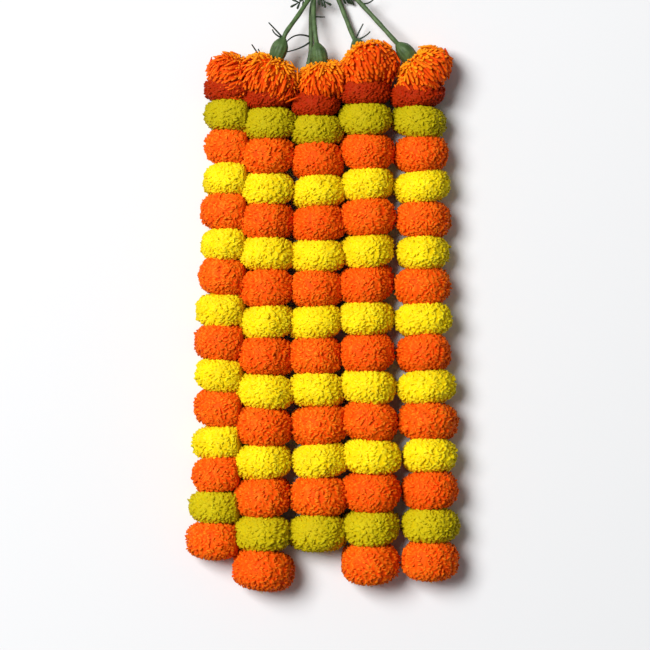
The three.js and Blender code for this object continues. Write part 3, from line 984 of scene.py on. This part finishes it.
def leaf_on(root, way, leaflets, size, rng):
    """A plain feathered leaf: a thin rib with narrow leaflets on alternate sides, one at its tip."""
    way = np.array(way, float)
    droop = np.array([0, -0.12 * np.linalg.norm(way), 0])
    rib = bend_line(root, root + way * 0.5 - droop, root + way, 2.0)
    share = np.linspace(0.25, 1, leaflets)
    at = root + way * share[:, None]
    flank = unit(np.cross(way, UPWARDS)) * np.where(np.arange(leaflets) % 2, 1, -1)[:, None]
    flank[-1] = unit(way)
    points = unit(flank + unit(way) * 0.8 + rng.normal(0, 0.15, (leaflets, 3)))
    wide = unit(np.cross(points, UPWARDS) + rng.normal(0, 0.2, (leaflets, 3)))
    wide = squared(wide, points)
    blades = petals(
        LONG_PETAL, at + points * size, points, wide, size, BLADE_GIRTH, BLADE_FLATNESS,
        curl=0.12, tone=0.3, tint=LEAF_TINT)
    return joined(tube(rib, RIB_RADIUS, 6, UPWARDS, tint=LEAF_TINT, tone=0.3), blades)


# %% Grow a stem
SLIM = 0.94
PITH_SHARE = 0.8
STEM_SIDES = 20
STEM_RIBS = 5
UNEVEN = 0.05


def stem_of(index, rng):
    """A stem with its cut end, cup, stalks and leaves. Its radius is STEM_RADIUS x SLIM, so that
    its ribs reach about as far as the CAD's stem, x (1 + UNEVEN x sin along its length)."""
    line = stem_line(index)
    uneven = 1 + UNEVEN * np.sin(np.linspace(0, 40, len(line)) + rng.uniform(0, 6.3))
    body = tube(
        line, STEM_RADIUS * SLIM * uneven, STEM_SIDES, UPWARDS, STEM_RIBS, 0.05, 0.4,
        tone=0.5, along=0.3)
    cut = line[-1] + np.array([[0, -0.6, 0], [0, 0.25, 0]])
    pith = tube(cut, STEM_RADIUS * PITH_SHARE, STEM_SIDES, UPWARDS, along=1.0, tone=1.0)
    parts = [body, pith, cup_of(TOP_FLOWERS[index], rng)]
    for stalk in (each for each in STALKS if each["stem"] == index):
        root = line[round(stalk["along"] * (len(line) - 1))]
        bent = bend_line(root, root + stalk["middle"], root + stalk["tip"], 1.2)
        thin = STALK_RADIUS * np.linspace(1.1, 0.7, len(bent))
        parts.append(tube(bent, thin, 8, UPWARDS, tint=1.0, tone=0.2))
    for leaf in (each for each in LEAVES if each["stem"] == index):
        root = line[round(leaf["along"] * (len(line) - 1))]
        parts.append(leaf_on(root, leaf["way"], leaf["leaflets"], leaf["size"], rng))
    return joined(*parts)


# %% [markdown]
# ## The green finish
# Green is the colour that gives a plant away when it is flat. A real stem is blotched and finely
# specked along its length, so two noises of different sizes play over a base colour. The base
# comes from tone: the cup and its teeth are a little darker than the stem, and the pale pith
# shows only at the cut end. Stalks and leaves are darker still, by their tint.

# %% Stem material
BLOTCHES = [
    {"scale": 140, "dark": (0.62, 0.66, 0.55), "light": (1.25, 1.22, 1.1)},
    {"scale": 900, "dark": (0.8, 0.8, 0.74), "light": (1.12, 1.15, 1.1)},
]
STALK_GREEN = (0.012, 0.026, 0.012)


def stem_material():
    """Green with blotches and fine specks. tint turns it to the stalks' dark green."""
    made, tree, shader = plain_material("green_stem", 0.55)
    base = ramp(tree, [
        (0.0, (0.045, 0.085, 0.028)), (0.5, (0.075, 0.135, 0.048)),
        (0.9, (0.11, 0.185, 0.07)), (1.0, (0.62, 0.64, 0.36))])
    tree.links.new(measure(tree, "tone", 0, 1), base.inputs["Fac"])
    where = tree.nodes.new("ShaderNodeTexCoord")
    colour = base.outputs["Color"]
    for each in BLOTCHES:
        noise = tree.nodes.new("ShaderNodeTexNoise")
        noise.inputs["Scale"].default_value = each["scale"]
        noise.inputs["Detail"].default_value = 3
        tree.links.new(where.outputs["Object"], noise.inputs["Vector"])
        blotches = ramp(tree, [(0.35, each["dark"]), (0.68, each["light"])])
        tree.links.new(noise.outputs["Fac"], blotches.inputs["Fac"])
        colour = mixed(tree, "MULTIPLY", 1.0, colour, blotches.outputs["Color"])
    colour = mixed(tree, "MIX", measure(tree, "tint", 0, 1), colour, STALK_GREEN)
    tree.links.new(colour, shader.inputs["Base Color"])
    shader.inputs["Specular IOR Level"].default_value = 0.35
    raised(tree, shader, noise.outputs["Fac"], 0.25, 0.0003)
    return made


GREEN = stem_material()
for index in range(len(TOP_FLOWERS)):
    grown = stem_of(index, np.random.default_rng([70, index]))
    made = piece(f"green_stem_{index + 1}", grown, GREEN, [f"stem_{index + 1}"])
    print(made.name, "has", triangles_in(made), "triangles")

# %% [markdown]
# ## Thread and twine
# A cotton thread runs through every flower of a string and ends in a knot at both ends. Round the
# stems goes a thicker green twine, wound as a helix that follows the bundle's own outline. An
# overhand knot with its ends joined is a trefoil, one of the few knots with a formula of its own.

# %% Knots and threads
THREAD_RADIUS = 0.8
KNOT_RADIUS = 2.6
CLEARANCE = 0.4
STRAIGHT_TO = 20
BEND_ABOUT = 34
KNOT_POINTS = 61


def knot(middle, size, radius):
    """A trefoil: (sin t + 2 sin 2t, cos t - 2 cos 2t, -sin 3t), scaled so that it reaches size
    from its middle, with a tube round it."""
    t = np.linspace(0, 2 * math.pi, KNOT_POINTS)
    across, up = np.sin(t) + 2 * np.sin(2 * t), np.cos(t) - 2 * np.cos(2 * t)
    line = np.stack([across, up, -np.sin(3 * t)], axis=1)
    return tube(middle + line * (size - radius) / 3, radius, 8, UPWARDS, tone=0.5)


def thread_line(index):
    """Straight up through the flowers, then bent into the top flower as in the CAD."""
    string = STRINGS[index]
    look, back, _ = cup_ends(TOP_FLOWERS[index])
    below = 1 - YELLOW_SHARE / 2 if string["ends_orange"] else YELLOW_SHARE / 2
    lowest = height_at(string, YELLOW_COUNT - 1 + below) - CLEARANCE - KNOT_RADIUS
    top = string["first"][1]

    def straight_at(y):
        """The place on the straight thread at height y."""
        return np.array([line_at(string, y), y, REST_HEIGHT * radius_at(string, y)])

    start, bend, way = (straight_at(y) for y in (lowest, top + STRAIGHT_TO, top + BEND_ABOUT))
    end = back + look * (KNOT_RADIUS + 2 * CLEARANCE)
    return np.concatenate([np.linspace(start, bend, 60)[:-1], bend_line(bend, way, end, 1.5)])


# %% The twine's winding
TWINE_RADIUS = 1.0
TWINE_TURNS = 7
TWINE_SIDES = 9
STRANDS = 3
STRAND_DEPTH = 0.1
STRAND_PITCH = 5
TWINE_KNOT = 3.6
SNUG = 0.97


def bundle_outline(normal_angle, grow):
    """The outline of the stems' bundle, grow outside it: the stem that lies furthest in the
    direction of normal_angle, and its radius + grow on from there."""
    slots = np.radians(SLOT_ANGLES)
    nearest = slots[np.argmax(np.cos(normal_angle[:, None] - slots), axis=1)]
    reach = STEM_RADIUS * SNUG + grow
    return np.stack([
        BUNDLE_RADIUS * np.cos(nearest) + reach * np.cos(normal_angle),
        BUNDLE_RADIUS * np.sin(nearest) + reach * np.sin(normal_angle)], axis=1)


def twine_shape():
    """The winding, a knot on top of it and two short tails. The winding goes round the bundle's
    outline while it rises evenly from one end of the binding to the other."""
    middle = np.array([*BINDING_MIDDLE, BUNDLE_HEIGHT])
    angle = np.linspace(0, 2 * math.pi * TWINE_TURNS, TWINE_TURNS * 90)
    around = bundle_outline(angle + math.pi / 2, TWINE_RADIUS)
    rise = np.linspace(-1, 1, len(angle)) * (BINDING_LENGTH / 2 - TWINE_RADIUS)
    winding = even_steps(middle + np.stack([around[:, 0], rise, around[:, 1]], axis=1), 1.0)
    parts = [tube(
        winding, TWINE_RADIUS, TWINE_SIDES, [0.0, 1.0, 0.0], STRANDS, STRAND_DEPTH,
        len(winding) / STRAND_PITCH)]
    top = middle + (0, 0, BUNDLE_RADIUS + STEM_RADIUS + 2.4 * TWINE_RADIUS)
    parts.append(knot(top, TWINE_KNOT, TWINE_RADIUS))
    for side in (-1, 1):
        tail = smooth_route([top, top + (3 * side, -4, 0.8), top + (5 * side, -10, -0.5)], 1.0)
        parts.append(tube(
            tail, TWINE_RADIUS * 0.9, TWINE_SIDES, UPWARDS, STRANDS, STRAND_DEPTH, 2.4))
    return joined(*parts)


# %% Thread and twine material
def spun_material(name, light, dark, coils):
    """Spun fibre: stripes that climb round the strand, as a wave over the piece's own map."""
    made, tree, shader = plain_material(name, 0.85)
    mapping = tree.nodes.new("ShaderNodeMapping")
    mapping.inputs["Scale"].default_value = (1, coils, 1)
    tree.links.new(own_map(tree), mapping.inputs["Vector"])
    stripes = tree.nodes.new("ShaderNodeTexWave")
    stripes.bands_direction = "DIAGONAL"
    stripes.inputs["Scale"].default_value = 1.0
    stripes.inputs["Distortion"].default_value = 1.2
    tree.links.new(mapping.outputs["Vector"], stripes.inputs["Vector"])
    shade = ramp(tree, [(0.15, dark), (0.75, light)])
    tree.links.new(stripes.outputs["Fac"], shade.inputs["Fac"])
    tree.links.new(shade.outputs["Color"], shader.inputs["Base Color"])
    shader.inputs["Sheen Weight"].default_value = 0.3
    return made


COTTON = spun_material("thread", (0.80, 0.72, 0.54), (0.42, 0.35, 0.24), 120)
TWINE = spun_material("binding_twine", (0.10, 0.15, 0.045), (0.025, 0.05, 0.015), 90)
for index in range(len(STRINGS)):
    line = thread_line(index)
    ends = [knot(line[0], KNOT_RADIUS, THREAD_RADIUS), knot(line[-1], KNOT_RADIUS, THREAD_RADIUS)]
    spun = joined(tube(line, THREAD_RADIUS, 8, [1.0, 0.0, 0.0]), *ends)
    made = piece(f"cotton_thread_{index + 1}", spun, COTTON, [f"thread_{index + 1}"])
    print(made.name, "is", round(length_of(line)), "mm long")
made = piece("twine_binding", twine_shape(), TWINE, ["stem_binding"])
print(made.name, "has", triangles_in(made), "triangles")

# %% [markdown]
# ## Surface, light and the pale room
# The garland lies on a plain white surface. A large soft light stands to the upper left, so
# every string throws a soft scalloped shadow to its right, and a white world fills the rest.

# %% The pale floor
FLOOR_REACH = 6.0
FLOOR_COLOUR = (0.775, 0.78, 0.79, 1)

floor_mesh = bpy.data.meshes.new("floor")
signs = ((-1, -1), (1, -1), (1, 1), (-1, 1))
floor_mesh.from_pydata([(x * FLOOR_REACH, y * FLOOR_REACH, 0) for x, y in signs], [], [(0, 1, 2, 3)])
floor = bpy.data.objects.new("floor", floor_mesh)
bpy.context.scene.collection.objects.link(floor)
floor_material, _, floor_shader = plain_material("pale_floor", 0.9)
floor_shader.inputs["Base Color"].default_value = FLOOR_COLOUR
floor_mesh.materials.append(floor_material)

# %% Light and world
WINDOW_PLACE = (-3.15, 1.8, 6.15)
WINDOW_SIZE = 3.3
WINDOW_POWER = 670
WORLD_STRENGTH = 0.15


def area_light(name, place, target, size, power):
    """A square area light that looks from place to target."""
    data = bpy.data.lights.new(name, "AREA")
    data.size = size
    data.energy = power
    made = bpy.data.objects.new(name, data)
    looks = np.array(target) - np.array(place)
    made.rotation_euler = Vector(looks).to_track_quat("-Z", "Y").to_euler()
    made.location = place
    bpy.context.scene.collection.objects.link(made)


area_light("window", WINDOW_PLACE, (0, 0, 0), WINDOW_SIZE, WINDOW_POWER)
world = bpy.data.worlds.new("pale_room")
bpy.context.scene.world = world
world.use_nodes = True
background = world.node_tree.nodes["Background"]
background.inputs["Color"].default_value = (1, 1, 1, 1)
background.inputs["Strength"].default_value = WORLD_STRENGTH
bpy.context.scene.view_settings.view_transform = "Standard"
